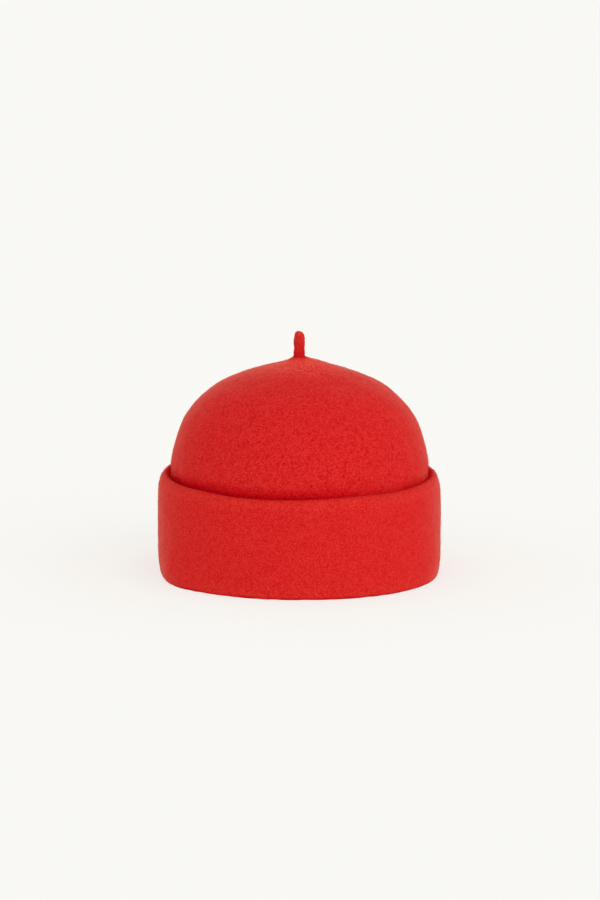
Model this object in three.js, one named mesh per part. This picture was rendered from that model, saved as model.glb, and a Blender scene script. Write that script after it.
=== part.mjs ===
// A red wool felt hat. One continuous wall of thick felt makes the domed crown, runs down as the
// band round the head, turns up in a fold at the bottom and stands again as a deep cuff whose
// rounded rim leans in against the crown. A felt stem stands in a hole at the top of the crown.
// Millimetres, +Z up, the front towards -Y. The hat rests on its fold, on the plane Z = 0.

import * as THREE from 'three';

// Driving sizes, outside measures unless they say otherwise
const FELT = 3.0;
const CUFF_WIDTH = 186;
const CUFF_DEPTH = 208;
const CUFF_HEIGHT = 64.6;
const CROWN_HEIGHT = 141.0;
const STEM_TOP = 158.4;
const STEM_RADIUS = 3.8;

// The head band inside the cuff, as half of its outside width
const BAND_HALF_WIDTH = 86.0;
const BAND_TOP = 58;

// The fold at the bottom: a flat ring rests on the surface, between a small inner round and a
// tall, narrow outer round
const FOLD_INNER_ROUND = 2.2;
const FOLD_OUTER_ROUND = { across: 2.4, up: 13 };

// The crown's outer face from the band to the stem: half of its width at each height
const CROWN_SECTIONS = [
  { height: BAND_TOP, halfWidth: BAND_HALF_WIDTH },
  { height: 72, halfWidth: 84.4 },
  { height: 86, halfWidth: 81.4 },
  { height: 100, halfWidth: 76.2 },
  { height: 112, halfWidth: 67.2 },
  { height: 122, halfWidth: 54.8 },
  { height: 129, halfWidth: 40.4 },
  { height: 133.5, halfWidth: 28.0 },
  { height: 136.5, halfWidth: 18.0 },
  { height: 138.6, halfWidth: 10.6 },
];

// The last stretch of the cuff, where its felt leans in to the crown and ends in a round rim
const RIM_LEAN_START = 44;
const RIM_CLEARANCE = 0.6;
const RIM_OUTER_SECTIONS = [
  { height: 52, halfWidth: 92.7 },
  { height: 57, halfWidth: 92.1 },
  { height: 61, halfWidth: 90.6 },
];
const RIM_INNER_SECTIONS = [
  { height: 53, halfWidth: 89.6 },
  { height: 58.5, halfWidth: 88.6 },
];

// The stem: half of its thickness at each height, and the root that holds it under the crown
const STEM_GAP = 0.35;
const STEM_ROOT = { radius: 7, thickness: 1.5, belowLip: 0.45, slope: 0.55 };
const STEM_SECTIONS = [
  { height: CROWN_HEIGHT + 2, radius: STEM_RADIUS },
  { height: CROWN_HEIGHT + 8, radius: 3.7 },
  { height: STEM_TOP - 4.5, radius: 3.6 },
  { height: STEM_TOP - 2.4, radius: 3.3 },
  { height: STEM_TOP - 0.9, radius: 2.3 },
  { height: STEM_TOP - 0.2, radius: 1.1 },
];
const STEM_TIP = { height: 6, slope: 0.12 };

// The dome has settled a little to the right, most of all at this height
const CROWN_SETTLING = { aside: 0.5, height: 104, spread: 26 };

// How the oval of the plan departs from an ellipse: fuller at the bottom, plain at the rim
const BOTTOM_FULLNESS = 0.05;

// Soft waves that shaping by hand has left in the felt: the number that go round, the angle of
// the first crest in degrees, how far they push the wall out and how far they lift the rim
const WAVES = [
  { count: 4, crest: 25, push: 0.35, lift: 0.25 },
  { count: 6, crest: 48, push: 0.25, lift: 0.3 },
  { count: 10, crest: 7, push: 0.15, lift: 0.15 },
];
const WAVE_SPREAD = 30;

// Steps of the meshes: sides round the hat and the stem, and steps along each stretch of a section
const HAT_SIDES = 60;
const STEM_SIDES = 16;
const STEPS = { crown: 18, crownInside: 14, band: 4, cuff: 3, leanOut: 6, leanIn: 4, fold: 5, corner: 3 };
const SAME_POINT = 0.01;

const CUFF_HALF_WIDTH = CUFF_WIDTH / 2;
const EXTRA_DEPTH = (CUFF_DEPTH - CUFF_WIDTH) / 2;
const HOLE_RADIUS = STEM_RADIUS + STEM_GAP;

// Points of a section are (distance from the upright axis, height)
const at = (halfWidth, height) => new THREE.Vector2(halfWidth, height);
const sectionPoints = (sections) => sections.map((row) => at(row.halfWidth, row.height));

// Points along a straight stretch of a section
function line(start, end, steps) {
  return new THREE.LineCurve(start, end).getSpacedPoints(steps);
}

// Points along part of an ellipse of a section, from one quarter turn to another
function round(centre, across, up, [startQuarter, endQuarter], steps) {
  const start = (startQuarter * Math.PI) / 2;
  const end = (endQuarter * Math.PI) / 2;
  const clockwise = endQuarter < startQuarter;
  const arc = new THREE.EllipseCurve(centre.x, centre.y, across, up, start, end, clockwise);
  return arc.getSpacedPoints(steps);
}

// The points of a curve moved sideways, to the right of the way that it runs
function besideCurve(curve, distance, steps) {
  const points = [];
  for (let step = 0; step <= steps; step += 1) {
    const along = curve.getTangentAt(step / steps);
    const point = curve.getPointAt(step / steps);
    points.push(at(point.x + along.y * distance, point.y - along.x * distance));
  }
  return points;
}

// Joins stretches of points to one closed outline, without the points that two stretches share
function closedOutline(stretches) {
  const outline = [];
  for (const point of stretches.flat()) {
    const last = outline[outline.length - 1];
    if (!last || last.distanceTo(point) > SAME_POINT) {
      outline.push(point);
    }
  }
  outline.push(outline[0].clone());
  return outline;
}

// The crown's outer face, from the band up to the lip round the stem
function crownFace() {
  return new THREE.SplineCurve([...sectionPoints(CROWN_SECTIONS), at(HOLE_RADIUS, CROWN_HEIGHT)]);
}

// The felt wall cut through on one side: down the crown's inner face and the band, round the fold,
// up the cuff outside, over the rim, down into the slot between cuff and band, and up the band and
// the crown's outer face to the lip at the stem
function wallOutline() {
  const bandInside = BAND_HALF_WIDTH - FELT;
  const cuffInside = CUFF_HALF_WIDTH - FELT;
  const slotRound = (cuffInside - BAND_HALF_WIDTH) / 2;
  const slotBottom = at(BAND_HALF_WIDTH + slotRound, FELT + slotRound);
  const innerRound = at(bandInside + FOLD_INNER_ROUND, FOLD_INNER_ROUND);
  const outerRound = at(CUFF_HALF_WIDTH - FOLD_OUTER_ROUND.across, FOLD_OUTER_ROUND.up);
  const rimRadius = FELT / 2;
  const rimCentre = at(BAND_HALF_WIDTH + RIM_CLEARANCE + rimRadius, CUFF_HEIGHT - rimRadius);

  const crown = crownFace();
  const crownInside = besideCurve(crown, -FELT, STEPS.crownInside).reverse();
  crownInside[0].x = HOLE_RADIUS;
  const cuffLeanOutside = new THREE.SplineCurve([
    at(CUFF_HALF_WIDTH, RIM_LEAN_START),
    ...sectionPoints(RIM_OUTER_SECTIONS),
    at(rimCentre.x, CUFF_HEIGHT),
  ]);
  const cuffLeanInside = new THREE.SplineCurve([
    at(rimCentre.x - rimRadius, rimCentre.y),
    ...sectionPoints(RIM_INNER_SECTIONS).reverse(),
    at(cuffInside, RIM_LEAN_START),
  ]);

  return closedOutline([
    crownInside,
    line(at(bandInside, BAND_TOP), at(bandInside, innerRound.y), STEPS.band),
    round(innerRound, FOLD_INNER_ROUND, FOLD_INNER_ROUND, [2, 3], STEPS.corner),
    round(outerRound, FOLD_OUTER_ROUND.across, FOLD_OUTER_ROUND.up, [3, 4], STEPS.fold),
    line(at(CUFF_HALF_WIDTH, outerRound.y), at(CUFF_HALF_WIDTH, RIM_LEAN_START), STEPS.cuff),
    cuffLeanOutside.getSpacedPoints(STEPS.leanOut),
    round(rimCentre, rimRadius, rimRadius, [1, 2], STEPS.corner),
    cuffLeanInside.getSpacedPoints(STEPS.leanIn),
    line(at(cuffInside, RIM_LEAN_START), at(cuffInside, slotBottom.y), STEPS.cuff),
    round(slotBottom, slotRound, slotRound, [4, 2], STEPS.fold),
    line(at(BAND_HALF_WIDTH, slotBottom.y), at(BAND_HALF_WIDTH, BAND_TOP), STEPS.band),
    crown.getSpacedPoints(STEPS.crown),
  ]);
}

// The stem cut through on one side, from the middle of its root to the middle of its tip
function stemOutline() {
  const underLip = CROWN_HEIGHT - FELT - STEM_ROOT.belowLip;
  const rootTop = underLip - (STEM_ROOT.radius - STEM_RADIUS) * STEM_ROOT.slope;
  return [
    at(0, rootTop - STEM_ROOT.thickness),
    at(STEM_ROOT.radius, rootTop - STEM_ROOT.thickness),
    at(STEM_ROOT.radius, rootTop),
    at(STEM_RADIUS, underLip),
    ...STEM_SECTIONS.map((row) => at(row.radius, row.height)),
    at(0, STEM_TOP),
  ];
}

// Moves each point of a body of revolution to where a function puts it
function reshape(geometry, move) {
  geometry.rotateX(Math.PI / 2);
  const position = geometry.attributes.position;
  const point = new THREE.Vector3();
  for (let index = 0; index < position.count; index += 1) {
    point.fromBufferAttribute(position, index);
    move(point);
    position.setXYZ(index, point.x, point.y, point.z);
  }
  geometry.computeVertexNormals();
  return geometry;
}

// Turns the round body into the oval hat, with its waves round the rim and the cuff
function shapeHat(point) {
  const angle = Math.atan2(point.y, point.x);
  const halfWidth = Math.hypot(point.x, point.y);
  const outward = (halfWidth - HOLE_RADIUS) / (BAND_HALF_WIDTH - HOLE_RADIUS);
  const halfDepth = halfWidth + EXTRA_DEPTH * Math.min(1, outward);
  const fullness = BOTTOM_FULLNESS * THREE.MathUtils.clamp(1 - point.z / CUFF_HEIGHT, 0, 1);
  const swell = 1 + (fullness * (1 - Math.cos(4 * angle))) / 2;
  const nearRim = Math.exp(-(((point.z - CUFF_HEIGHT) / WAVE_SPREAD) ** 2));
  let push = 0;
  let lift = 0;
  for (const wave of WAVES) {
    const crest = Math.cos(wave.count * (angle - THREE.MathUtils.degToRad(wave.crest)));
    push += wave.push * nearRim * crest;
    lift += wave.lift * nearRim ** 2 * crest;
  }
  const settled = Math.exp(-(((point.z - CROWN_SETTLING.height) / CROWN_SETTLING.spread) ** 2));
  point.x = (halfWidth * swell + push) * Math.cos(angle) + CROWN_SETTLING.aside * settled;
  point.y = (halfDepth * swell + push) * Math.sin(angle);
  point.z += point.z > 0 ? lift : 0;
}

// Slants the stem's round tip, a little higher on the left
function shapeStem(point) {
  const nearTip = THREE.MathUtils.clamp(1 - (STEM_TOP - point.z) / STEM_TIP.height, 0, 1);
  point.z -= point.x * STEM_TIP.slope * nearTip;
}

// Plain dyed wool felt, matt all over
function feltMaterial(name, color) {
  return new THREE.MeshStandardMaterial({ name, color, roughness: 0.96, metalness: 0 });
}

const hatGeometry = reshape(new THREE.LatheGeometry(wallOutline(), HAT_SIDES), shapeHat);
const crownAndCuff = new THREE.Mesh(hatGeometry, feltMaterial('red_felt', 0xd3271f));
crownAndCuff.name = 'crown_and_cuff';

const stemGeometry = reshape(new THREE.LatheGeometry(stemOutline(), STEM_SIDES), shapeStem);
const stem = new THREE.Mesh(stemGeometry, feltMaterial('stem_felt', 0xc5221f));
stem.name = 'stem';

const hat = new THREE.Group();
hat.add(crownAndCuff, stem);

export default hat;
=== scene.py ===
import math

import bpy
import numpy as np
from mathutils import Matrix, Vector, noise


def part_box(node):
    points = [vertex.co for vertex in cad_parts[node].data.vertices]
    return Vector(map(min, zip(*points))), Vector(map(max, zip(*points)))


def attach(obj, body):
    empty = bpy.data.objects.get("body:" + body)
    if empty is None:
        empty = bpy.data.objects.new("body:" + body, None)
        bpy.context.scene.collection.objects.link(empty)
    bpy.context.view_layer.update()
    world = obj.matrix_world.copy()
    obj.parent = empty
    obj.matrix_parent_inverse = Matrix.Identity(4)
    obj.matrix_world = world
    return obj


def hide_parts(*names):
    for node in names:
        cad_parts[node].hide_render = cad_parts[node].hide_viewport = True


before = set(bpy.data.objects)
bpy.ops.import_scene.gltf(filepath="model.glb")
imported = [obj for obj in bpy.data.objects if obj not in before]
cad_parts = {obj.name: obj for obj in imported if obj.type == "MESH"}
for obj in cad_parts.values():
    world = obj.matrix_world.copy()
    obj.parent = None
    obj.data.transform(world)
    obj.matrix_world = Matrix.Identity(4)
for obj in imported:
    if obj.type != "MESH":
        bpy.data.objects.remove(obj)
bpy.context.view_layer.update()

# A hat of thick red wool felt. The felt body is one wall: the domed crown, the band round the
# head, the fold at the bottom and the deep turned-up cuff. A felt stem stands at the top, and a
# short nap of loose wool fibres stands on all the felt that shows.

MM = 0.001


# Driving sizes, in metres, from the frame

BODY_LOW, BODY_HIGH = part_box("crown_and_cuff")
STEM_LOW, STEM_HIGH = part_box("stem")
CUFF_HALF_WIDTH = (BODY_HIGH.x - BODY_LOW.x) / 2
EXTRA_DEPTH = (BODY_HIGH.y - BODY_LOW.y) / 2 - CUFF_HALF_WIDTH
CROWN_TOP = BODY_HIGH.z
STEM_TOP = STEM_HIGH.z


# Sizes of the felt, in metres

FELT = 3.0 * MM
CUFF_HEIGHT = 64.6 * MM
BAND_HALF_WIDTH = CUFF_HALF_WIDTH - 7.0 * MM
BAND_TOP = 52.0 * MM
LIP_RADIUS = 3.85 * MM
LIP_RISE = 0.8 * MM
FOLD_INNER_ROUND = 2.2 * MM
FOLD_OUTER_ROUND = (2.2 * MM, 17.5 * MM)
FACE_DRAWN_IN = 0.3 * MM
RIM_LEAN_START = 44.0 * MM
RIM_CREST = 88.4 * MM
RIM_INNER_ROUND = (4.0 * MM, 3.0 * MM)

# The crown's outer face, as half of its width at each height, in millimetres. It is drawn in a
# little where the rim of the cuff presses on it.
CROWN_SECTIONS = (
    {"height": 58.0, "half_width": 84.6},
    {"height": 63.0, "half_width": 84.1},
    {"height": 67.0, "half_width": 84.1},
    {"height": 72.0, "half_width": 84.3},
    {"height": 78.0, "half_width": 83.2},
    {"height": 86.0, "half_width": 81.2},
    {"height": 100.0, "half_width": 76.1},
    {"height": 112.0, "half_width": 67.0},
    {"height": 122.0, "half_width": 54.8},
    {"height": 128.8, "half_width": 40.4},
    {"height": 133.2, "half_width": 28.0},
    {"height": 136.2, "half_width": 18.3},
    {"height": 138.3, "half_width": 11.7},
    {"height": 139.7, "half_width": 8.0},
    {"height": 140.7, "half_width": 6.0},
    {"height": 141.4, "half_width": 4.7},
)

# The two faces of the cuff where it leans in to the crown, in millimetres
RIM_OUTER_SECTIONS = (
    {"height": 52.0, "half_width": 92.5},
    {"height": 57.0, "half_width": 92.1},
    {"height": 61.0, "half_width": 90.9},
    {"height": 63.4, "half_width": 89.6},
)
RIM_INNER_SECTIONS = (
    {"height": 57.0, "half_width": 86.6},
    {"height": 52.0, "half_width": 88.8},
)

# The stem from its root under the crown to its tip, in millimetres above the crown's lip
STEM_SECTIONS = (
    {"above_lip": -6.6, "radius": 6.0},
    {"above_lip": -5.9, "radius": 6.9},
    {"above_lip": -5.3, "radius": 6.6},
    {"above_lip": -4.2, "radius": 4.2},
    {"above_lip": -2.8, "radius": 3.8},
    {"above_lip": -1.4, "radius": 3.85},
    {"above_lip": 0.0, "radius": 3.95},
    {"above_lip": 1.0, "radius": 3.95},
    {"above_lip": 1.7, "radius": 3.8},
    {"above_lip": 2.4, "radius": 3.7},
    {"above_lip": 3.4, "radius": 3.62},
    {"above_lip": 5.0, "radius": 3.6},
    {"above_lip": 9.0, "radius": 3.62},
    {"above_lip": 12.0, "radius": 3.52},
    {"above_lip": 14.4, "radius": 3.35},
    {"above_lip": 16.1, "radius": 2.7},
    {"above_lip": 17.1, "radius": 1.5},
)
STEM_TIP = {"reach": 5.0 * MM, "slope": 0.27}

# The plan, a little fuller at its four corners near the bottom, and the soft waves that shaping
# by hand has left in the felt: how many go round, where one crests, in degrees, and how far the
# felt is pushed out and lifted there
BOTTOM_FULLNESS = 0.04
FULL_CORNERS = 4.0
WAVE_SPREAD = 30.0 * MM
WAVES = (
    {"count": 1, "crest": 165.0, "push": 0.0, "lift": 0.60 * MM},
    {"count": 2, "crest": 135.0, "push": 0.10 * MM, "lift": 0.45 * MM},
    {"count": 4, "crest": 25.0, "push": 0.35 * MM, "lift": 0.25 * MM},
    {"count": 6, "crest": 48.0, "push": 0.25 * MM, "lift": 0.30 * MM},
    {"count": 10, "crest": 7.0, "push": 0.15 * MM, "lift": 0.15 * MM},
)
CROWN_SETTLING = {"aside": 0.35 * MM, "height": 92.0 * MM, "spread": 28.0 * MM}
APEX_LEAN = {"slope": 0.17, "spread": 16.0 * MM}

# Soft swells and hollows of the wall: where they are round the hat, in degrees, how high, how far
# they stand out, and how far they spread both ways
SWELLS = (
    {"angle": 210.7, "height": 0.0, "push": 1.9 * MM, "turn": 12.7, "reach": 22.0 * MM},
    {"angle": 335.8, "height": 0.0, "push": 1.1 * MM, "turn": 12.7, "reach": 22.0 * MM},
    {"angle": 238.0, "height": 0.0, "push": -1.8 * MM, "turn": 14.0, "reach": 22.0 * MM},
    {"angle": 0.0, "height": 125.0, "push": -1.0 * MM, "turn": 45.0, "reach": 9.0 * MM},
    {"angle": 180.0, "height": 128.5, "push": 0.9 * MM, "turn": 45.0, "reach": 4.0 * MM},
)
CROWN_SWELLS = (
    {"angle": 172.0, "height": 69.4, "push": 2.2 * MM, "turn": 26.0, "reach": 3.5 * MM},
    {"angle": 8.0, "height": 68.8, "push": 1.5 * MM, "turn": 26.0, "reach": 3.2 * MM},
)
CREASES = (
    {"angle": 213.0, "height": 51.0, "turn": 1.7, "reach": 5.0 * MM},
    {"angle": 215.5, "height": 41.0, "turn": 1.8, "reach": 8.0 * MM},
    {"angle": 212.0, "height": 19.0, "turn": 2.4, "reach": 9.0 * MM},
    {"angle": 218.0, "height": 25.0, "turn": 1.8, "reach": 7.0 * MM},
    {"angle": 222.5, "height": 14.0, "turn": 1.8, "reach": 6.0 * MM},
    {"angle": 336.0, "height": 26.0, "turn": 2.0, "reach": 14.0 * MM},
)
CREASE_DEPTH = 0.3 * MM

# Where the rim's inner edge is turned up against the crown, and how far the fold is lifted off
# the floor here and there
RIM_HUG = {"angle": 314.0, "turn": 44.0, "share": 0.85}
FOLD_LIFT = {"most": 0.55 * MM, "below": 3.0 * MM, "size": 7.0 * MM}

# Where the groove behind the rim lies open to the light, so that its painted shadow is weaker,
# and how much lower its shaded finish ends there
GROOVE_OPEN = (
    {"angle": 314.0, "turn": 24.0, "share": 0.55},
    {"angle": 352.0, "turn": 22.0, "share": 0.8},
    {"angle": 178.0, "turn": 10.0, "share": 0.6},
)
GROOVE_OPEN_LOWER = 3.0 * MM

# Painted light and shade in the felt's colour, from -1, darkest painted shade, to 1, brightest
# painted light. The rim, the fold and the top of the crown get painted highlights; the rim's
# crest, the crown behind the rim, the stem's foot and the creases get painted shade; and past a
# limit below zero the fold's bottom edge gets a painted contact shadow, darkest at a second
# limit. The whole crown also gets a slightly darker tone.
RIM_HIGHLIGHT_FROM = 57.0 * MM
RIM_HIGHLIGHT_TO = 62.6 * MM
RIM_HIGHLIGHT = 0.24
CREST_SHADE = 0.4
FOLD_PAINTED_LIGHT = 0.17
FOLD_PAINTED_LIGHT_TO = 12.0 * MM
APEX_SHEEN_FROM = 131.0 * MM
APEX_SHEEN_TO = 139.0 * MM
CROWN_SHADE_AT_STEM = {"reach": 7.5 * MM, "shade": 1.15}
CROWN_DARKER_TONE = 0.22
CROWN_WALL_EDGE = 86.0 * MM
CROWN_WALL_SOFTNESS = 1.5 * MM
GROOVE_SHADE_SPREAD = 7.0 * MM
CREASE_SHADE = 0.9
EDGE_SHADE = {"outside": 90.2 * MM, "softness": 0.8 * MM, "below": 2.1 * MM, "most": 2.7}
EDGE_SHADE_PATCHES = {"size": FELT, "middle": 0.6, "spread": 0.8}
EDGE_SHADE_FROM = -0.8
EDGE_SHADE_TO = -1.6

# The finishes of the felt body's faces, and where faces get shaded copies of the felt, with less
# or
# no sheen and gloss, as painted shade: on the crown up to a height, on the rim from its inner
# edge out to a half width, and round the hole for the stem
FINISHES = ("crown", "cuff", "shaded", "half_shaded")
SHADED_BELOW = 66.6 * MM
HALF_SHADED_BELOW = 70.5 * MM
SHADED_UNEVENNESS = 1.6 * MM
SHADED_PATCHES = 2 * FELT
SHADED_RIM = 86.9 * MM
HALF_SHADED_RIM = 88.9 * MM
RIM_INNER_EDGE = 84.5 * MM
SHADED_LIP = 4.6 * MM

# Unevenness of the felt's surface: the size of the lumps and how far they stand out
BODY_LUMPS = (
    {"size": 26.0 * MM, "height": 0.30 * MM},
    {"size": 10.0 * MM, "height": 0.18 * MM},
    {"size": 4.5 * MM, "height": 0.18 * MM},
)
STEM_LUMPS = (
    {"size": 6.0 * MM, "height": 0.40 * MM},
    {"size": 2.8 * MM, "height": 0.30 * MM},
)
FLOOR_CLEARANCE = 2.0 * MM

# Fineness of the meshes
SHOWN_STEP = 1.5 * MM
HIDDEN_STEP = 5.0 * MM
ROUND_STEP = 0.7 * MM
APEX_FINE = 10.0 * MM
STEM_STEP = 0.5 * MM
BODY_SIDES = 224
STEM_SIDES = 40
MERGE_REACH = 0.00001

# The nap: loose fibres that stand on the felt
FIBRE_LENGTH = 1.2 * MM
FIBRE_RADIUS = 0.036 * MM
FIBRE_BEND = 0.24 * MM
FIBRE_SIZES = (0.6, 1.3)
FIBRE_LEAN = (1.05, 1.5)
RIM_FIBRE_LEAN = (0.6, 1.4)
CROWN_NAP_PER_M2 = 680000
CUFF_NAP_PER_M2 = 660000
RIM_NAP_PER_M2 = 1300000
STEM_NAP_PER_M2 = 1400000
INSIDE_NAP_PER_M2 = 200000

# Where the nap of each part of the felt ends
CROWN_NAP = {"above": CUFF_HEIGHT - 2.0 * MM, "inside": RIM_CREST - RIM_INNER_ROUND[0] + 0.6 * MM}
CUFF_NAP = {"above": 0.3 * MM, "outside": BAND_HALF_WIDTH + FELT / 2}
RIM_NAP = {"above": RIM_HIGHLIGHT_TO - FELT / 2, "outside": RIM_CREST - RIM_INNER_ROUND[0]}
INSIDE_NAP = {"above": FELT, "inside": BAND_HALF_WIDTH - FELT / 2}

# A face counts as facing up or down when the upright part of its normal is past one of these
FACES_UP = 0.5
FACES_DOWN = -0.5
FACES_STRAIGHT_DOWN = -0.9


# Small helpers for modelling


def deselect_all():
    """Leaves nothing selected, in object mode."""
    if bpy.context.object and bpy.context.object.mode != "OBJECT":
        bpy.ops.object.mode_set(mode="OBJECT")
    bpy.ops.object.select_all(action="DESELECT")


def make_active(piece):
    """Selects one piece alone."""
    deselect_all()
    piece.select_set(True)
    bpy.context.view_layer.objects.active = piece


def select_faces(piece, wanted):
    """Selects the faces that a test picks out, and stays in edit mode."""
    make_active(piece)
    bpy.ops.object.mode_set(mode="EDIT")
    bpy.ops.mesh.select_mode(type="FACE")
    bpy.ops.mesh.select_all(action="DESELECT")
    bpy.ops.object.mode_set(mode="OBJECT")
    for face in piece.data.polygons:
        face.select = wanted(face)
    bpy.ops.object.mode_set(mode="EDIT")


def copy_of(piece, name):
    """A copy of a piece, with its own mesh."""
    copy = piece.copy()
    copy.data = piece.data.copy()
    copy.name = name
    copy.data.name = name
    bpy.context.scene.collection.objects.link(copy)
    return copy


def places(mesh):
    """The places of a mesh's points, one row each."""
    flat = np.empty(len(mesh.vertices) * 3)
    mesh.vertices.foreach_get("co", flat)
    return flat.reshape(-1, 3)


def put_places(mesh, rows):
    """Moves a mesh's points to new places."""
    mesh.vertices.foreach_set("co", rows.ravel())
    mesh.update()


def section_point(half_width, height):
    """A point of an upright section, through the middle of the hat."""
    return Vector((half_width, 0.0, height))


def section_points(rows):
    """The points of a table of heights and half widths in millimetres."""
    return [section_point(row["half_width"] * MM, row["height"] * MM) for row in rows]


def evenly_spaced(points, step):
    """Points at even steps along a chain of close points."""
    chain = np.array([tuple(point) for point in points])
    lengths = np.linalg.norm(np.diff(chain, axis=0), axis=1)
    along = np.concatenate([[0.0], np.cumsum(lengths)])
    count = max(1, round(along[-1] / step))
    stops = np.linspace(0.0, along[-1], count + 1)
    columns = [np.interp(stops, along, chain[:, axis]) for axis in range(3)]
    return [Vector(row) for row in zip(*columns)]


def line(start, end, step):
    """Points along a straight stretch."""
    return evenly_spaced([start, end], step)


def smooth_through(points, step, fineness=24):
    """Points along a smooth curve through a few places."""
    padded = [points[0], *points, points[-1]]
    chain = []
    for before, start, end, after in zip(padded, padded[1:], padded[2:], padded[3:]):
        for tick in range(fineness):
            t = tick / fineness
            chain.append(
                start
                + (end - before) * (0.5 * t)
                + (before - start * 2.5 + end * 2.0 - after * 0.5) * t**2
                + (start * 1.5 - before * 0.5 - end * 1.5 + after * 0.5) * t**3
            )
    chain.append(points[-1])
    return evenly_spaced(chain, step)


def quarter_turns(centre, across, up, start, end, step, fineness=48):
    """Points along part of an ellipse, from one quarter turn to another."""
    chain = []
    for tick in range(fineness + 1):
        angle = (start + (end - start) * tick / fineness) * math.pi / 2
        chain.append(centre + Vector((across * math.cos(angle), 0.0, up * math.sin(angle))))
    return evenly_spaced(chain, step)


def beside(points, distance):
    """A chain of points moved sideways, to the left of the way that it runs."""
    chain = np.array([tuple(point) for point in points])
    ways = np.gradient(chain, axis=0)
    ways /= np.linalg.norm(ways, axis=1)[:, None]
    moved = chain + distance * np.stack([-ways[:, 2], 0 * ways[:, 1], ways[:, 0]], axis=1)
    return [Vector(row) for row in moved]


def list_faces_in_order(mesh):
    """Lists a mesh's faces in the order of their corners. Spinning may list the same faces in
    another order each time, and the nap's random draws follow that order."""
    rows = places(mesh)
    faces = sorted(tuple(face.vertices) for face in mesh.polygons)
    mesh.clear_geometry()
    mesh.from_pydata(rows.tolist(), [], faces)
    mesh.update()


def spin_up(name, outline, sides, closed):
    """Draws an outline by extruding one point along it, and spins it about the upright axis."""
    deselect_all()
    bpy.ops.mesh.primitive_plane_add(size=FELT)
    piece = bpy.context.object
    piece.name = name
    piece.data.name = name
    bpy.ops.object.mode_set(mode="EDIT")
    bpy.ops.mesh.select_all(action="SELECT")
    bpy.ops.mesh.merge(type="CENTER")
    bpy.ops.transform.translate(value=outline[0])
    ends = outline[1:] + outline[:1] if closed else outline[1:]
    for start, end in zip(outline, ends):
        bpy.ops.mesh.extrude_region_move(TRANSFORM_OT_translate={"value": end - start})
    bpy.ops.mesh.select_all(action="SELECT")
    bpy.ops.mesh.remove_doubles(threshold=MERGE_REACH)
    bpy.ops.mesh.select_all(action="SELECT")
    bpy.ops.mesh.spin(steps=sides, angle=math.tau, center=(0, 0, 0), axis=(0, 0, 1))
    bpy.ops.mesh.select_all(action="SELECT")
    bpy.ops.mesh.remove_doubles(threshold=MERGE_REACH)
    bpy.ops.mesh.normals_make_consistent(inside=False)
    bpy.ops.object.mode_set(mode="OBJECT")
    list_faces_in_order(piece.data)
    bpy.ops.object.shade_smooth()
    return piece


def raise_lumps(piece, lumps, round_what, seed):
    """Pushes a wall in and out by soft noise, but leaves what rests on the floor flat."""
    rows = places(piece.data)
    outward = rows * (1.0, 1.0, 0.0)
    outward[:, 2] = np.maximum(0.0, rows[:, 2] - round_what)
    outward /= np.linalg.norm(outward, axis=1)[:, None] + MERGE_REACH
    heights = np.zeros(len(rows))
    for lump in lumps:
        away = Vector((seed, 0.0, 0.0))
        soft = [noise.noise(Vector(row) / lump["size"] + away) for row in rows]
        heights += lump["height"] * np.array(soft)
    heights *= np.clip(rows[:, 2] / FLOOR_CLEARANCE, 0.0, 1.0)
    put_places(piece.data, rows + outward * heights[:, None])


# The felt body


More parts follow.
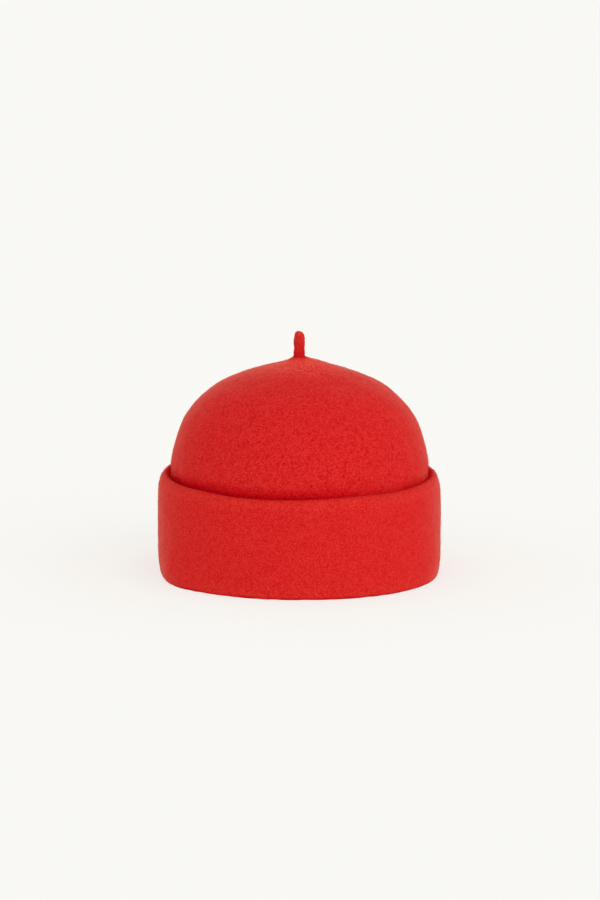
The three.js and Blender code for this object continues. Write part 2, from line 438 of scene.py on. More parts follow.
def body_outline():
    """The felt wall cut through: down inside, round the fold, up the cuff, back down into the
    slot behind it, and up the band and the crown's outer face to the lip at the stem."""
    band_inside = BAND_HALF_WIDTH - FELT
    cuff_inside = CUFF_HALF_WIDTH - FELT
    slot_round = (cuff_inside - BAND_HALF_WIDTH) / 2
    slot_bottom = section_point(BAND_HALF_WIDTH + slot_round, FELT + slot_round)
    inner_round = section_point(band_inside + FOLD_INNER_ROUND, FOLD_INNER_ROUND)
    across, up = FOLD_OUTER_ROUND
    face = CUFF_HALF_WIDTH - FACE_DRAWN_IN
    outer_round = section_point(face - across, up)
    rim_across, rim_down = RIM_INNER_ROUND
    rim_centre = section_point(RIM_CREST, CUFF_HEIGHT - rim_down)

    band_top = section_point(BAND_HALF_WIDTH, BAND_TOP)
    lip = section_point(LIP_RADIUS, CROWN_TOP + LIP_RISE)
    crown_places = [band_top, *section_points(CROWN_SECTIONS), lip]

    # The crown keeps every second point, and all of them near the stem
    crown = [
        point
        for tick, point in enumerate(smooth_through(crown_places, ROUND_STEP))
        if tick % 2 == 0 or point.x < APEX_FINE
    ]
    crown_inside = [
        point
        for point in beside(smooth_through(crown_places, SHOWN_STEP * 2), FELT)[::-1]
        if point.z > BAND_TOP + SHOWN_STEP
    ]
    crown_inside[0].x = LIP_RADIUS

    lean_outside = [
        section_point(face, RIM_LEAN_START),
        *section_points(RIM_OUTER_SECTIONS),
        section_point(RIM_CREST, CUFF_HEIGHT),
    ]
    lean_inside = [
        section_point(RIM_CREST - rim_across, rim_centre.z),
        *section_points(RIM_INNER_SECTIONS),
        section_point(cuff_inside, RIM_LEAN_START),
    ]
    band_inside_top = section_point(band_inside, BAND_TOP)
    band_inside_foot = section_point(band_inside, inner_round.z)
    stretches = [
        crown_inside,
        line(band_inside_top, band_inside_foot, SHOWN_STEP * 2),
        quarter_turns(inner_round, FOLD_INNER_ROUND, FOLD_INNER_ROUND, 2, 3, ROUND_STEP),
        quarter_turns(outer_round, across, up, 3, 4, ROUND_STEP),
        line(section_point(face, outer_round.z), lean_outside[0], SHOWN_STEP),
        smooth_through(lean_outside, SHOWN_STEP),
        quarter_turns(rim_centre, rim_across, rim_down, 1, 2, ROUND_STEP),
        smooth_through(lean_inside, SHOWN_STEP * 2),
        line(lean_inside[-1], section_point(cuff_inside, slot_bottom.z), HIDDEN_STEP),
        quarter_turns(slot_bottom, slot_round, slot_round, 4, 2, ROUND_STEP * 2),
        line(section_point(BAND_HALF_WIDTH, slot_bottom.z), band_top, HIDDEN_STEP),
        crown,
    ]
    outline = []
    for point in sum(stretches, []):
        if not outline or (point - outline[-1]).length > MERGE_REACH:
            outline.append(point)
    return outline


def round_spot(spot, angle):
    """How near each point lies to a place round the hat, from 0 to 1."""
    turn = (np.degrees(angle) - spot["angle"] + 180.0) % 360.0 - 180.0
    return np.exp(-((turn / spot["turn"]) ** 2))


def soft_spot(spot, angle, height):
    """How strongly each point lies in a soft spot of the wall, from 0 to 1."""
    rise = (height - spot["height"]) / spot["reach"]
    return round_spot(spot, angle) * np.exp(-(rise**2))


def shape_like_head(piece):
    """Turns the round body into the oval hat, with its waves round the rim and the cuff."""
    rows = places(piece.data)
    angle = np.arctan2(rows[:, 1], rows[:, 0])
    half_width = np.hypot(rows[:, 0], rows[:, 1])
    height = rows[:, 2]
    outward = (half_width - LIP_RADIUS) / (BAND_HALF_WIDTH - LIP_RADIUS)
    half_depth = half_width + EXTRA_DEPTH * np.minimum(1.0, outward)
    fullness = BOTTOM_FULLNESS * np.clip(1.0 - height / CUFF_HEIGHT, 0.0, 1.0)
    swell = 1.0 + fullness * (1.0 - np.cos(FULL_CORNERS * angle)) / 2.0
    near_rim = np.exp(-(((height - CUFF_HEIGHT) / WAVE_SPREAD) ** 2))
    push = np.zeros(len(rows))
    lift = np.zeros(len(rows))
    for wave in WAVES:
        crest = np.cos(wave["count"] * (angle - math.radians(wave["crest"])))
        push += wave["push"] * near_rim * crest
        lift += wave["lift"] * near_rim**2 * crest
    for spot in SWELLS:
        push += spot["push"] * soft_spot(spot, angle, height)
    on_crown_wall = half_width < RIM_CREST - RIM_INNER_ROUND[0]
    for spot in CROWN_SWELLS:
        push += spot["push"] * soft_spot(spot, angle, height) * on_crown_wall
    for spot in CREASES:
        push -= CREASE_DEPTH * soft_spot(spot, angle, height)
    crest_in = RIM_CREST - RIM_INNER_ROUND[0] - MERGE_REACH
    in_round = (half_width > crest_in) & (half_width < RIM_CREST)
    in_round &= height > CUFF_HEIGHT - RIM_INNER_ROUND[1] - MERGE_REACH
    lift += in_round * RIM_HUG["share"] * round_spot(RIM_HUG, angle) * (CUFF_HEIGHT - height)
    soft = [noise.noise(Vector(row) / FOLD_LIFT["size"]) for row in rows]
    near_floor = np.clip(1.0 - height / FOLD_LIFT["below"], 0.0, 1.0)
    off_floor = FOLD_LIFT["most"] * np.maximum(0.0, np.array(soft)) * near_floor
    from_settling = (height - CROWN_SETTLING["height"]) / CROWN_SETTLING["spread"]
    settled = CROWN_SETTLING["aside"] * np.exp(-(from_settling**2))
    rows[:, 0] = (half_width * swell + push) * np.cos(angle) + settled
    rows[:, 1] = (half_depth * swell + push) * np.sin(angle)
    near_stem = np.exp(-((half_width / APEX_LEAN["spread"]) ** 2)) * (height > CUFF_HEIGHT)
    rows[:, 2] = height + np.where(height > 0, lift, 0.0) + off_floor
    rows[:, 2] += APEX_LEAN["slope"] * near_stem * (rows[:, 0] - LIP_RADIUS * np.cos(angle))
    put_places(piece.data, rows)


def groove_openness(angle):
    """How open the groove behind the rim lies to the light, from 0 to 1, round the hat."""
    openness = 0.0 * angle
    for spot in GROOVE_OPEN:
        openness = np.maximum(openness, spot["share"] * round_spot(spot, angle))
    return openness


def mark_painted_light(piece):
    """Marks painted light and shade for the felt's colour: painted highlights on the rim, the
    fold and the top of the crown, painted shade behind the rim, on the rim's crest, at the stem's
    foot, in the creases and as a contact shadow along the fold's bottom edge, and a darker tone
    over the crown."""
    rows = places(piece.data)
    half_width = np.hypot(rows[:, 0], rows[:, 1])
    height = rows[:, 2]
    angle = np.arctan2(rows[:, 1], rows[:, 0])
    on_cuff_wall = np.clip((half_width - CROWN_WALL_EDGE) / CROWN_WALL_SOFTNESS, 0.0, 1.0)
    # Painted highlight up the rim's outer face, and painted shade on its crest
    up_rim = np.clip((height - RIM_HIGHLIGHT_FROM) / (RIM_HIGHLIGHT_TO - RIM_HIGHLIGHT_FROM), 0.0, 1.0)
    over_rim = np.clip((height - RIM_HIGHLIGHT_TO) / (CUFF_HEIGHT - RIM_HIGHLIGHT_TO), 0.0, 1.0)
    painted_light = RIM_HIGHLIGHT * np.sin(up_rim * math.pi / 2) - CREST_SHADE * over_rim**2
    # Painted shadow on the crown behind the rim, weaker where the groove lies open to the light
    painted_shade = np.exp(-(((height - CUFF_HEIGHT) / GROOVE_SHADE_SPREAD) ** 2))
    painted_shade *= 1.0 - groove_openness(angle)
    # Painted sheen on the top of the crown, up to the stem
    up_apex = (height - APEX_SHEEN_FROM) / (APEX_SHEEN_TO - APEX_SHEEN_FROM)
    painted_light_and_tone = on_cuff_wall * painted_light - (1.0 - on_cuff_wall) * np.maximum(painted_shade, CROWN_DARKER_TONE)
    painted_light_and_tone += (1.0 + CROWN_DARKER_TONE) * np.clip(up_apex, 0.0, 1.0)
    # Painted shade on the crown round the stem's foot
    to_stem = (CROWN_SHADE_AT_STEM["reach"] - half_width) / (CROWN_SHADE_AT_STEM["reach"] - LIP_RADIUS)
    painted_light_and_tone -= CROWN_SHADE_AT_STEM["shade"] * np.clip(to_stem, 0.0, 1.0)
    # Painted light of the floor's bounce on the lower fold
    painted_light_and_tone += FOLD_PAINTED_LIGHT * np.clip(1.0 - height / FOLD_PAINTED_LIGHT_TO, 0.0, 1.0)
    # Painted shade in the creases
    for spot in CREASES:
        painted_light_and_tone -= CREASE_SHADE * soft_spot(spot, angle, height)
    # Painted contact shadow, in patches, along the fold's bottom edge
    soft = np.array([noise.noise(Vector(row) / EDGE_SHADE_PATCHES["size"]) for row in rows])
    patchy = EDGE_SHADE_PATCHES["middle"] + EDGE_SHADE_PATCHES["spread"] * soft
    at_edge = np.clip((half_width - EDGE_SHADE["outside"]) / EDGE_SHADE["softness"], 0.0, 1.0)
    at_edge *= np.clip(1.0 - height / EDGE_SHADE["below"], 0.0, 1.0)
    painted_light_and_tone -= EDGE_SHADE["most"] * patchy * at_edge
    mark = piece.data.attributes.new("painted_light_and_tone", "FLOAT", "POINT")
    mark.data.foreach_set("value", painted_light_and_tone)


def outward_part(face):
    """Above zero where a face looks away from the hat's upright axis, and below where it looks
    towards it."""
    return face.normal.x * face.center.x + face.normal.y * face.center.y


def pick_finishes(piece):
    """Picks the finish of each face. The crown shows the felt's outer face, and the cuff and the
    inside its inner face. In the groove behind the rim, on the rim's crest and at the stem, faces
    get shaded copies of the felt with less or no sheen and gloss, as painted shade."""
    for face in piece.data.polygons:
        half_width = math.hypot(face.center.x, face.center.y)
        openness = groove_openness(math.atan2(face.center.y, face.center.x))
        higher = SHADED_UNEVENNESS * noise.noise(face.center / SHADED_PATCHES)
        higher -= GROOVE_OPEN_LOWER * openness
        faces_in = outward_part(face) < 0
        on_band = half_width < CROWN_WALL_EDGE and not faces_in and face.center.z > BAND_TOP
        on_rim_top = face.center.z > RIM_HIGHLIGHT_FROM and face.normal.z > FACES_DOWN
        in_rim = on_rim_top and RIM_INNER_EDGE < half_width < SHADED_RIM and faces_in
        on_crest = on_rim_top and SHADED_RIM < half_width < HALF_SHADED_RIM
        at_lip = half_width < SHADED_LIP and face.center.z > CROWN_TOP - FELT
        if on_band and face.center.z < SHADED_BELOW + higher:
            finish = "shaded"
        elif at_lip or in_rim:
            finish = "shaded"
        elif on_crest or (on_band and face.center.z < HALF_SHADED_BELOW + higher):
            finish = "half_shaded"
        else:
            finish = "crown" if on_band else "cuff"
        face.material_index = FINISHES.index(finish)


def make_felt_body():
    """The crown, band, fold and cuff as one felt wall."""
    body = spin_up("felt_body", body_outline(), BODY_SIDES, closed=True)
    mark_painted_light(body)
    pick_finishes(body)
    shape_like_head(body)
    raise_lumps(body, BODY_LUMPS, BAND_TOP, seed=3.0)
    return body


# The stem


def make_felt_stem():
    """The stem, with the root that holds it under the crown."""
    rows = [(row["radius"] * MM, CROWN_TOP + row["above_lip"] * MM) for row in STEM_SECTIONS]
    root = section_point(0.0, rows[0][1])
    tip = section_point(0.0, STEM_TOP)
    outline = smooth_through([root, *[section_point(*row) for row in rows], tip], STEM_STEP)
    outline[0].x = 0.0
    stem = spin_up("felt_stem", outline, STEM_SIDES, closed=False)
    points = places(stem.data)
    near_tip = np.clip(1.0 - (STEM_TOP - points[:, 2]) / STEM_TIP["reach"], 0.0, 1.0)
    points[:, 2] -= points[:, 0] * STEM_TIP["slope"] * near_tip
    put_places(stem.data, points)
    raise_lumps(stem, STEM_LUMPS, STEM_TOP - STEM_TIP["reach"], seed=11.0)
    return stem


# The nap


def make_fibre():
    """One loose fibre, pointed at both ends and bent in the middle, to be set many times."""
    deselect_all()
    half = FIBRE_LENGTH / 2
    bpy.ops.mesh.primitive_cone_add(vertices=3, radius1=FIBRE_RADIUS, depth=half)
    fibre = bpy.context.object
    fibre.name = "fibre"
    select_faces(fibre, lambda face: face.normal.z < FACES_STRAIGHT_DOWN)
    bpy.ops.mesh.poke(offset=half)
    bpy.ops.object.mode_set(mode="OBJECT")
    rows = places(fibre.data)
    ring = np.hypot(rows[:, 0], rows[:, 1]) > FIBRE_RADIUS / 2
    rows[ring, 0] += FIBRE_BEND
    rows[:, 2] -= rows[:, 2].min()
    put_places(fibre.data, rows)
    return fibre


def nap_nodes(fibre, per_m2, seed, lean):
    """Geometry nodes that set fibres on a surface, each turned and tilted at random."""
    group = bpy.data.node_groups.new("nap_fibres", "GeometryNodeTree")
    group.interface.new_socket("Geometry", in_out="INPUT", socket_type="NodeSocketGeometry")
    group.interface.new_socket("Geometry", in_out="OUTPUT", socket_type="NodeSocketGeometry")
    nodes, links = group.nodes, group.links
    felt = nodes.new("NodeGroupInput")
    nap = nodes.new("NodeGroupOutput")

    scatter = nodes.new("GeometryNodeDistributePointsOnFaces")
    scatter.inputs["Density"].default_value = per_m2
    scatter.inputs["Seed"].default_value = seed

    pick = nodes.new("GeometryNodeObjectInfo")
    pick.inputs["Object"].default_value = fibre

    tilt = nodes.new("FunctionNodeRandomValue")
    tilt.data_type = "FLOAT_VECTOR"
    tilt.inputs["Min"].default_value = (lean[0], 0.0, -math.pi)
    tilt.inputs["Max"].default_value = (lean[1], 0.0, math.pi)
    tilt.inputs["Seed"].default_value = seed + 1

    turn = nodes.new("FunctionNodeEulerToRotation")
    rotate = nodes.new("FunctionNodeRotateRotation")
    rotate.rotation_space = "LOCAL"

    size = nodes.new("FunctionNodeRandomValue")
    size.data_type = "FLOAT"
    size.inputs[2].default_value = FIBRE_SIZES[0]
    size.inputs[3].default_value = FIBRE_SIZES[1]
    size.inputs["Seed"].default_value = seed + 2

    put = nodes.new("GeometryNodeInstanceOnPoints")
    realize = nodes.new("GeometryNodeRealizeInstances")

    links.new(felt.outputs["Geometry"], scatter.inputs["Mesh"])
    links.new(scatter.outputs["Points"], put.inputs["Points"])
    links.new(pick.outputs["Geometry"], put.inputs["Instance"])
    links.new(tilt.outputs["Value"], turn.inputs[0])
    links.new(scatter.outputs["Rotation"], rotate.inputs["Rotation"])
    links.new(turn.outputs[0], rotate.inputs["Rotate By"])
    links.new(rotate.outputs[0], put.inputs["Rotation"])
    links.new(size.outputs[1], put.inputs["Scale"])
    links.new(put.outputs["Instances"], realize.inputs["Geometry"])
    links.new(realize.outputs["Geometry"], nap.inputs["Geometry"])
    return group


def grow_nap(name, felt, shows, fibre, per_m2, seed, lean=FIBRE_LEAN):
    """Grows a nap on the faces of a felt piece that a test picks out."""
    nap = copy_of(felt, name)
    select_faces(nap, lambda face: not shows(face))
    bpy.ops.mesh.delete(type="FACE")
    bpy.ops.object.mode_set(mode="OBJECT")
    growth = nap_nodes(fibre, per_m2, seed, lean)
    grower = nap.modifiers.new("nap", "NODES")
    grower.node_group = growth
    bpy.ops.object.modifier_apply(modifier=grower.name)
    bpy.data.node_groups.remove(growth)
    rows = places(nap.data)
    rows[:, 2] = np.maximum(rows[:, 2], 0.0)
    put_places(nap.data, rows)
    return nap


def plan_radius(centre):
    """How far out a point is, as the half width of the round section that it comes from."""
    return math.hypot(centre.x, centre.y * BAND_HALF_WIDTH / (BAND_HALF_WIDTH + EXTRA_DEPTH))


def on_crown(face):
    """True on the crown's outer face, from the rim of the cuff to the stem."""
    faces_out = outward_part(face) > 0 or face.normal.z > FACES_UP
    inside_rim = plan_radius(face.center) < CROWN_NAP["inside"]
    return faces_out and face.center.z > CROWN_NAP["above"] and inside_rim


def on_cuff(face):
    """True on the cuff's outer face and the round of the fold."""
    outside = plan_radius(face.center) > CUFF_NAP["outside"]
    return outside and face.center.z > CUFF_NAP["above"] and outward_part(face) > 0


def on_rim(face):
    """True on the crest of the cuff's rim."""
    outside = plan_radius(face.center) > RIM_NAP["outside"]
    return outside and face.center.z > RIM_NAP["above"] and face.normal.z > 0.0


def on_inside(face):
    """True on the inner faces of the crown and the band."""
    inside = plan_radius(face.center) < INSIDE_NAP["inside"]
    faces_in = outward_part(face) < 0 or face.normal.z < FACES_DOWN
    return inside and face.center.z > INSIDE_NAP["above"] and faces_in


def on_stem(face):
    """True on the part of the stem that stands over the crown."""
    return face.center.z > CROWN_TOP


# Materials

# The felt's colours: deep between the fibres, the felt itself, its bright fibres and the haze of
# loose ones over them
CROWN_COLOURS = (
    (0.475, 0.0001, 0.0024),
    (0.585, 0.0045, 0.0085),
    (0.695, 0.0360, 0.0280),
    (0.665, 0.0360, 0.0290),
)
CUFF_COLOURS = (
    (0.524, 0.0030, 0.0050),
    (0.590, 0.0070, 0.0090),
    (0.656, 0.0270, 0.0215),
    (0.639, 0.0270, 0.0220),
)
# The stem's colours are lighter and less red than the crown's: partly its fuzz, partly painted
# light from above
STEM_COLOURS = (
    (0.450, 0.0075, 0.0090),
    (0.595, 0.0240, 0.0198),
    (0.735, 0.0570, 0.0440),
    (0.685, 0.0570, 0.0440),
)

# Tints for painted shade at the stem's foot, for painted light, for painted shade together with
# the crown's darker tone, and for the painted contact shadow at the fold's bottom edge
STEM_FOOT_SHADE_TINT = (0.86, 0.03, 0.25)
PAINTED_LIGHT_TINT = (1.14, 3.0, 2.3)
PAINTED_SHADE_TINT = (0.90, 0.12, 0.45)
EDGE_SHADE_TINT = (0.52, 0.5, 0.6)

# The nap's colours, the gloss and sheen of both, and the felt's fine relief
NAP_COLOUR = (0.66, 0.026, 0.020)
# The rim's nap is darker, as painted shade on the rim's crest
SHADED_RIM_NAP_COLOUR = (0.62, 0.009, 0.011)
GLOSS = 0.12
GLOSS_TINT = (1.0, 0.9, 0.65)
SHEEN = 0.65
CUFF_SHEEN = 0.8
SHEEN_ROUGHNESS = 0.2
SHEEN_TINT = (1.0, 0.46, 0.33)
NAP_SHEEN = 0.2
NAP_SHEEN_TINT = (1.0, 0.62, 0.55)
NAP_ROUGHNESS = 0.7
NAP_PATCHES_PER_METRE = 900.0
NAP_SHADES = (0.75, 1.25)
GRAINS_PER_METRE = 1500.0
RELIEF = 0.5 * MM
RELIEF_STRENGTH = 0.7

# The tangle of fibres, from noise at four sizes: how fine each is beside the grains, how much
# detail it has and how far it is bent, and each one's share
CURLS = {"times": 0.4, "detail": 3.0, "distortion": 0.8}
THREADS = {"times": 0.95, "detail": 1.0, "distortion": 0.6}
CLOUDS = {"times": 0.05, "detail": 2.0, "distortion": 0.0}
FUZZ = {"times": 0.2, "detail": 3.0, "distortion": 0.4}
NOISE_ROUGHNESS = 0.62
CURLS_SHARE = 0.22
THREADS_SHARE = 0.78
FINE_SHARE = 0.95
CLOUDS_SHARE = 0.05
TANGLE_LIMITS = (0.42, 0.57)
FUZZ_LIMITS = (0.42, 0.62)
MOST_HAZE = 0.30
THREAD_ROUGHNESS = (1.0, 0.86)


def new_group(name, inputs, outputs):
    """A shader node group with named inputs and outputs."""
    group = bpy.data.node_groups.new(name, "ShaderNodeTree")
    for label, kind, value in inputs:
        socket = group.interface.new_socket(label, in_out="INPUT", socket_type=kind)
        if value is not None:
            socket.default_value = value
    for label, kind in outputs:
        group.interface.new_socket(label, in_out="OUTPUT", socket_type=kind)
    return group


def felt_grain_group():
    """The tangle of fibres in milled wool: its colours, its roughness and its relief."""
    group = new_group(
        "felt_grain",
        [
            ("Place", "NodeSocketVector", None),
            ("Grains per Metre", "NodeSocketFloat", GRAINS_PER_METRE),
            ("Deep", "NodeSocketColor", (*CROWN_COLOURS[0], 1.0)),
            ("Felt", "NodeSocketColor", (*CROWN_COLOURS[1], 1.0)),
            ("Bright", "NodeSocketColor", (*CROWN_COLOURS[2], 1.0)),
            ("Haze", "NodeSocketColor", (*CROWN_COLOURS[3], 1.0)),
        ],
        [
            ("Colour", "NodeSocketColor"),
            ("Roughness", "NodeSocketFloat"),
            ("Height", "NodeSocketFloat"),
        ],
    )
    nodes, links = group.nodes, group.links
    given = nodes.new("NodeGroupInput")
    made = nodes.new("NodeGroupOutput")

    def grains(kind):
        scale = nodes.new("ShaderNodeMath")
        scale.operation = "MULTIPLY"
        scale.inputs[1].default_value = kind["times"]
        links.new(given.outputs["Grains per Metre"], scale.inputs[0])
        tangle = nodes.new("ShaderNodeTexNoise")
        tangle.inputs["Detail"].default_value = kind["detail"]
        tangle.inputs["Roughness"].default_value = NOISE_ROUGHNESS
        tangle.inputs["Distortion"].default_value = kind["distortion"]
        links.new(given.outputs["Place"], tangle.inputs["Vector"])
        links.new(scale.outputs[0], tangle.inputs["Scale"])
        return tangle.outputs["Fac"]

    def weighted(first, first_share, second, second_share):
        total = nodes.new("ShaderNodeMath")
        total.operation = "MULTIPLY_ADD"
        total.inputs[1].default_value = first_share
        part = nodes.new("ShaderNodeMath")
        part.operation = "MULTIPLY"
        part.inputs[1].default_value = second_share
        links.new(first, total.inputs[0])
        links.new(second, part.inputs[0])
        links.new(part.outputs[0], total.inputs[2])
        return total.outputs[0]

    curls = grains(CURLS)
    threads = grains(THREADS)
    clouds = grains(CLOUDS)
    fuzz = grains(FUZZ)
    fine = weighted(curls, CURLS_SHARE, threads, THREADS_SHARE)
    mixed = weighted(fine, FINE_SHARE, clouds, CLOUDS_SHARE)

    spread = nodes.new("ShaderNodeMapRange")
    spread.inputs["From Min"].default_value = TANGLE_LIMITS[0]
    spread.inputs["From Max"].default_value = TANGLE_LIMITS[1]
    links.new(mixed, spread.inputs["Value"])

    lower = nodes.new("ShaderNodeMapRange")
    lower.inputs["From Max"].default_value = 0.5
    upper = nodes.new("ShaderNodeMapRange")
    upper.inputs["From Min"].default_value = 0.5
    deep_to_felt = nodes.new("ShaderNodeMix")
    deep_to_felt.data_type = "RGBA"
    felt_to_bright = nodes.new("ShaderNodeMix")
    felt_to_bright.data_type = "RGBA"
    links.new(spread.outputs["Result"], lower.inputs["Value"])
    links.new(spread.outputs["Result"], upper.inputs["Value"])
    links.new(lower.outputs["Result"], deep_to_felt.inputs["Factor"])
    links.new(given.outputs["Deep"], deep_to_felt.inputs[6])
    links.new(given.outputs["Felt"], deep_to_felt.inputs[7])
    links.new(upper.outputs["Result"], felt_to_bright.inputs["Factor"])
    links.new(deep_to_felt.outputs[2], felt_to_bright.inputs[6])
    links.new(given.outputs["Bright"], felt_to_bright.inputs[7])

    dull = nodes.new("ShaderNodeMapRange")
    dull.inputs["To Min"].default_value = THREAD_ROUGHNESS[0]
    dull.inputs["To Max"].default_value = THREAD_ROUGHNESS[1]
    links.new(threads, dull.inputs["Value"])

    hazy = nodes.new("ShaderNodeMapRange")
    hazy.inputs["From Min"].default_value = FUZZ_LIMITS[0]
    hazy.inputs["From Max"].default_value = FUZZ_LIMITS[1]
    hazy.inputs["To Max"].default_value = MOST_HAZE
    with_haze = nodes.new("ShaderNodeMix")
    with_haze.data_type = "RGBA"
    links.new(fuzz, hazy.inputs["Value"])
    links.new(hazy.outputs["Result"], with_haze.inputs["Factor"])
    links.new(felt_to_bright.outputs[2], with_haze.inputs[6])
    links.new(given.outputs["Haze"], with_haze.inputs[7])

    links.new(with_haze.outputs[2], made.inputs["Colour"])
    links.new(dull.outputs["Result"], made.inputs["Roughness"])
    links.new(fine, made.inputs["Height"])
    return group


def tinted(nodes, links, colour, amount, tint):
    """A colour multiplied by a tint, as far as an amount from 0 to 1 says."""
    mix = nodes.new("ShaderNodeMix")
    mix.data_type = "RGBA"
    mix.blend_type = "MULTIPLY"
    mix.inputs[7].default_value = (*tint, 1.0)
    links.new(amount, mix.inputs["Factor"])
    links.new(colour, mix.inputs[6])
    return mix.outputs[2]


def up_to_one(nodes, links, value, low, high):
    """A value stretched so that it runs from 0 to 1 between two limits."""
    stretch = nodes.new("ShaderNodeMapRange")
    stretch.inputs["From Min"].default_value = low
    stretch.inputs["From Max"].default_value = high
    links.new(value, stretch.inputs["Value"])
    return stretch.outputs["Result"]


def felt_material(name, grain, colours, sheen, gloss, foot=None):
    """Milled wool felt: matt, with a soft sheen where it is seen at a slant."""
    material = bpy.data.materials.new(name)
    material.use_nodes = True
    nodes, links = material.node_tree.nodes, material.node_tree.links
    shader = nodes["Principled BSDF"]
    shader.inputs["Specular IOR Level"].default_value = gloss
    shader.inputs["Specular Tint"].default_value = (*GLOSS_TINT, 1.0)
    shader.inputs["Sheen Weight"].default_value = sheen
    shader.inputs["Sheen Roughness"].default_value = SHEEN_ROUGHNESS
    shader.inputs["Sheen Tint"].default_value = (*SHEEN_TINT, 1.0)

    where = nodes.new("ShaderNodeTexCoord")
    felt = nodes.new("ShaderNodeGroup")
    felt.node_tree = grain
    felt.inputs["Grains per Metre"].default_value = GRAINS_PER_METRE
    for label, colour in zip(("Deep", "Felt", "Bright", "Haze"), colours):
        felt.inputs[label].default_value = (*colour, 1.0)
    links.new(where.outputs["Object"], felt.inputs["Place"])
    links.new(felt.outputs["Roughness"], shader.inputs["Roughness"])

    bump = nodes.new("ShaderNodeBump")
    bump.inputs["Strength"].default_value = RELIEF_STRENGTH
    bump.inputs["Distance"].default_value = RELIEF
    links.new(felt.outputs["Height"], bump.inputs["Height"])
    links.new(bump.outputs["Normal"], shader.inputs["Normal"])

    # The stem darkens towards its foot, as painted shade where it meets the crown
    if foot:
        split = nodes.new("ShaderNodeSeparateXYZ")
        links.new(where.outputs["Object"], split.inputs[0])
        at_foot = up_to_one(nodes, links, split.outputs["Z"], foot["high"], foot["low"])
        colour = tinted(nodes, links, felt.outputs["Colour"], at_foot, foot["tint"])
    else:
        # The body's colour takes the marked painted light, painted shade and the crown's darker
        # tone
        mark = nodes.new("ShaderNodeAttribute")
        mark.attribute_name = "painted_light_and_tone"
        painted_light = up_to_one(nodes, links, mark.outputs["Fac"], 0.0, 1.0)
        painted_shade = up_to_one(nodes, links, mark.outputs["Fac"], 0.0, -1.0)
        colour = tinted(nodes, links, felt.outputs["Colour"], painted_light, PAINTED_LIGHT_TINT)
        edge_shade = up_to_one(nodes, links, mark.outputs["Fac"], EDGE_SHADE_FROM, EDGE_SHADE_TO)
        colour = tinted(nodes, links, colour, painted_shade, PAINTED_SHADE_TINT)
        colour = tinted(nodes, links, colour, edge_shade, EDGE_SHADE_TINT)
    links.new(colour, shader.inputs["Base Color"])
    return material


def nap_material(name, colour, sheen, gloss):
    """Loose fibres of the felt, seen one by one."""
    material = bpy.data.materials.new(name)
    material.use_nodes = True
    nodes, links = material.node_tree.nodes, material.node_tree.links
    shader = nodes["Principled BSDF"]
    shader.inputs["Specular IOR Level"].default_value = gloss
    shader.inputs["Roughness"].default_value = NAP_ROUGHNESS
    shader.inputs["Sheen Weight"].default_value = sheen
    shader.inputs["Sheen Tint"].default_value = (*NAP_SHEEN_TINT, 1.0)
    where = nodes.new("ShaderNodeTexCoord")
    patches = nodes.new("ShaderNodeTexNoise")
    patches.inputs["Scale"].default_value = NAP_PATCHES_PER_METRE
    shades = nodes.new("ShaderNodeMix")
    shades.data_type = "RGBA"
    for socket, shade in zip((6, 7), NAP_SHADES):
        shades.inputs[socket].default_value = (*[channel * shade for channel in colour], 1.0)
    links.new(where.outputs["Object"], patches.inputs["Vector"])
    links.new(patches.outputs["Fac"], shades.inputs["Factor"])
    links.new(shades.outputs[2], shader.inputs["Base Color"])
    return material


def dress(piece, materials):
    """Gives a piece its materials and its body."""
    picked = np.empty(len(piece.data.polygons), dtype=np.int32)
    piece.data.polygons.foreach_get("material_index", picked)
    piece.data.materials.clear()
    for material in materials:
        piece.data.materials.append(material)
    piece.data.polygons.foreach_set("material_index", np.minimum(picked, len(materials) - 1))
    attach(piece, "root")


# The studio

FLOOR_SIZE = 40.0
FLOOR_COLOUR = (0.90, 0.895, 0.865)
FLOOR_GLOW = 0.7
PALE = (0.950, 0.946, 0.915)
SKY_LOW = 1.25
SKY_HIGH = 0.80
SKY_COLOUR = (1.0, 0.99, 0.97)
KEY_STRENGTH = 0.80
KEY_SPREAD = math.radians(60)
KEY_FROM = Vector((0.88, -1.0, 0.62))


def make_floor():
    """A wide pale floor, lit from behind so that it takes only a faint shadow."""
    deselect_all()
    bpy.ops.mesh.primitive_plane_add(size=FLOOR_SIZE)
    floor = bpy.context.object
    floor.name = "studio_floor"
    material = bpy.data.materials.new("studio_floor")
    material.use_nodes = True
    nodes, links = material.node_tree.nodes, material.node_tree.links
    board = nodes["Principled BSDF"]
    board.inputs["Base Color"].default_value = (*FLOOR_COLOUR, 1.0)
    board.inputs["Roughness"].default_value = 1.0
    board.inputs["Specular IOR Level"].default_value = 0.0
    glow = nodes.new("ShaderNodeEmission")
    glow.inputs["Color"].default_value = (*PALE, 1.0)
    both = nodes.new("ShaderNodeMixShader")
    both.inputs["Fac"].default_value = FLOOR_GLOW
    links.new(board.outputs["BSDF"], both.inputs[1])
    links.new(glow.outputs["Emission"], both.inputs[2])
    links.new(both.outputs["Shader"], nodes["Material Output"].inputs["Surface"])
    floor.data.materials.append(material)


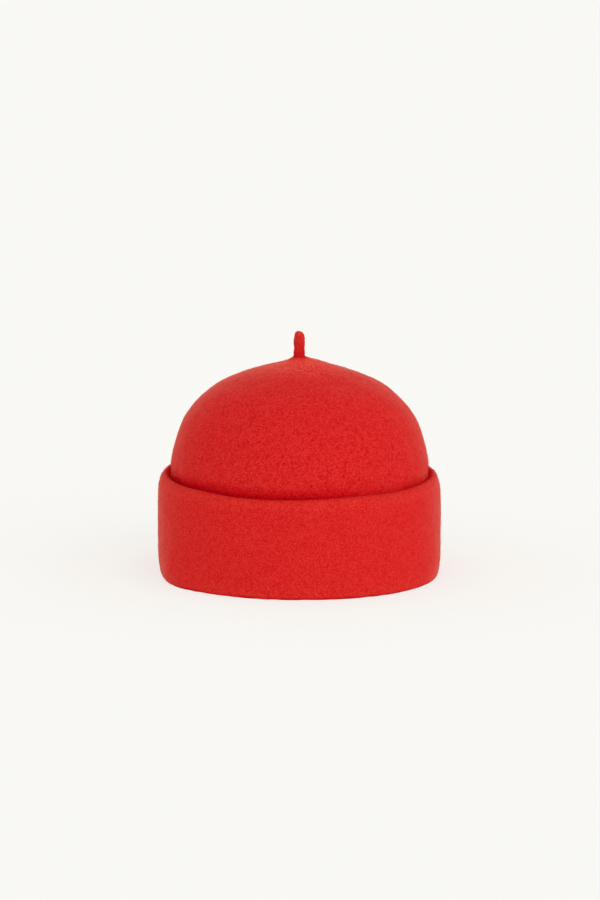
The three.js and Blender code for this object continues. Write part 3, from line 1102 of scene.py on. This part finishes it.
def make_sky():
    """Soft light from all round, a little less from above, and a pale colour behind the floor."""
    world = bpy.data.worlds.new("studio")
    bpy.context.scene.world = world
    world.use_nodes = True
    nodes, links = world.node_tree.nodes, world.node_tree.links
    light = nodes["Background"]
    light.inputs["Color"].default_value = (*SKY_COLOUR, 1.0)
    where = nodes.new("ShaderNodeTexCoord")
    split = nodes.new("ShaderNodeSeparateXYZ")
    rise = nodes.new("ShaderNodeMapRange")
    rise.inputs["To Min"].default_value = SKY_LOW
    rise.inputs["To Max"].default_value = SKY_HIGH
    links.new(where.outputs["Generated"], split.inputs[0])
    links.new(split.outputs["Z"], rise.inputs["Value"])
    links.new(rise.outputs["Result"], light.inputs["Strength"])
    behind = nodes.new("ShaderNodeBackground")
    behind.inputs["Color"].default_value = (*PALE, 1.0)
    ray = nodes.new("ShaderNodeLightPath")
    either = nodes.new("ShaderNodeMixShader")
    links.new(ray.outputs["Is Camera Ray"], either.inputs["Fac"])
    links.new(light.outputs["Background"], either.inputs[1])
    links.new(behind.outputs["Background"], either.inputs[2])
    links.new(either.outputs["Shader"], nodes["World Output"].inputs["Surface"])


def make_key_light():
    """A broad soft light from the front, a little to the right."""
    data = bpy.data.lights.new("key_light", "SUN")
    data.energy = KEY_STRENGTH
    data.angle = KEY_SPREAD
    light = bpy.data.objects.new("key_light", data)
    light.rotation_euler = KEY_FROM.to_track_quat("Z", "Y").to_euler()
    bpy.context.scene.collection.objects.link(light)


# The camera: the photograph is 600 by 900 pixels, and one pixel covers this much of the hat

PICTURE_HEIGHT = 900
PIXEL = 0.6553 * MM
CAMERA_DISTANCE = 3.5
CAMERA_RISE = math.radians(10.1)
SENSOR = 36.0
SEES_AS_FAR_AS = 100.0
HAT_LEFT_OF_CENTRE = 0.6
AIM = Vector((HAT_LEFT_OF_CENTRE * PIXEL, 0.0, 79.5 * MM))


def make_camera():
    """The camera at the photograph's angle and distance."""
    data = bpy.data.cameras.new("camera")
    data.sensor_fit = "VERTICAL"
    data.sensor_height = SENSOR
    data.lens = CAMERA_DISTANCE / (PIXEL * PICTURE_HEIGHT) * SENSOR
    data.clip_end = SEES_AS_FAR_AS
    camera = bpy.data.objects.new("camera", data)
    back = Vector((0.0, -math.cos(CAMERA_RISE), math.sin(CAMERA_RISE)))
    camera.location = AIM + back * CAMERA_DISTANCE
    camera.rotation_euler = back.to_track_quat("Z", "Y").to_euler()
    bpy.context.scene.collection.objects.link(camera)
    bpy.context.scene.camera = camera


# The whole scene


def make_scene():
    """Makes every piece, its finish and the studio round it."""
    make_camera()
    body = make_felt_body()
    stem = make_felt_stem()
    fibre = make_fibre()
    crown_nap = grow_nap("crown_nap", body, on_crown, fibre, CROWN_NAP_PER_M2, seed=5)
    cuff_nap = grow_nap("cuff_nap", body, on_cuff, fibre, CUFF_NAP_PER_M2, seed=17)
    rim_nap = grow_nap(
        "rim_nap", body, on_rim, fibre, RIM_NAP_PER_M2, seed=23, lean=RIM_FIBRE_LEAN
    )
    inside_nap = grow_nap("inside_nap", body, on_inside, fibre, INSIDE_NAP_PER_M2, seed=29)
    stem_nap = grow_nap("stem_nap", stem, on_stem, fibre, STEM_NAP_PER_M2, seed=41)
    bpy.data.objects.remove(fibre)

    grain = felt_grain_group()
    finishes = [
        felt_material("red_wool_felt", grain, CROWN_COLOURS, SHEEN, GLOSS),
        felt_material("cuff_wool_felt", grain, CUFF_COLOURS, CUFF_SHEEN, GLOSS),
        # Shaded copies of the crown's felt, with no or half the sheen and gloss, as painted shade
        felt_material("shaded_wool_felt", grain, CROWN_COLOURS, 0.0, 0.0),
        felt_material("half_shaded_wool_felt", grain, CROWN_COLOURS, SHEEN / 2, GLOSS / 2),
    ]
    foot = {"low": CROWN_TOP, "high": STEM_TOP, "tint": STEM_FOOT_SHADE_TINT}
    stem_felt = felt_material("stem_wool_felt", grain, STEM_COLOURS, SHEEN, GLOSS, foot=foot)
    loose = nap_material("loose_wool", NAP_COLOUR, NAP_SHEEN, GLOSS)
    # A darker copy of the loose wool without sheen or gloss, as painted shade on the rim's crest
    shaded_rim_wool = nap_material("shaded_rim_wool", SHADED_RIM_NAP_COLOUR, 0.0, 0.0)

    dress(body, finishes)
    dress(stem, [stem_felt])
    dress(rim_nap, [shaded_rim_wool])
    for nap in (crown_nap, cuff_nap, inside_nap):
        dress(nap, [loose])
    dress(stem_nap, [loose])
    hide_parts("crown_and_cuff")
    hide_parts("stem")

    make_floor()
    make_sky()
    make_key_light()
    bpy.context.scene.view_settings.view_transform = "Standard"


make_scene()
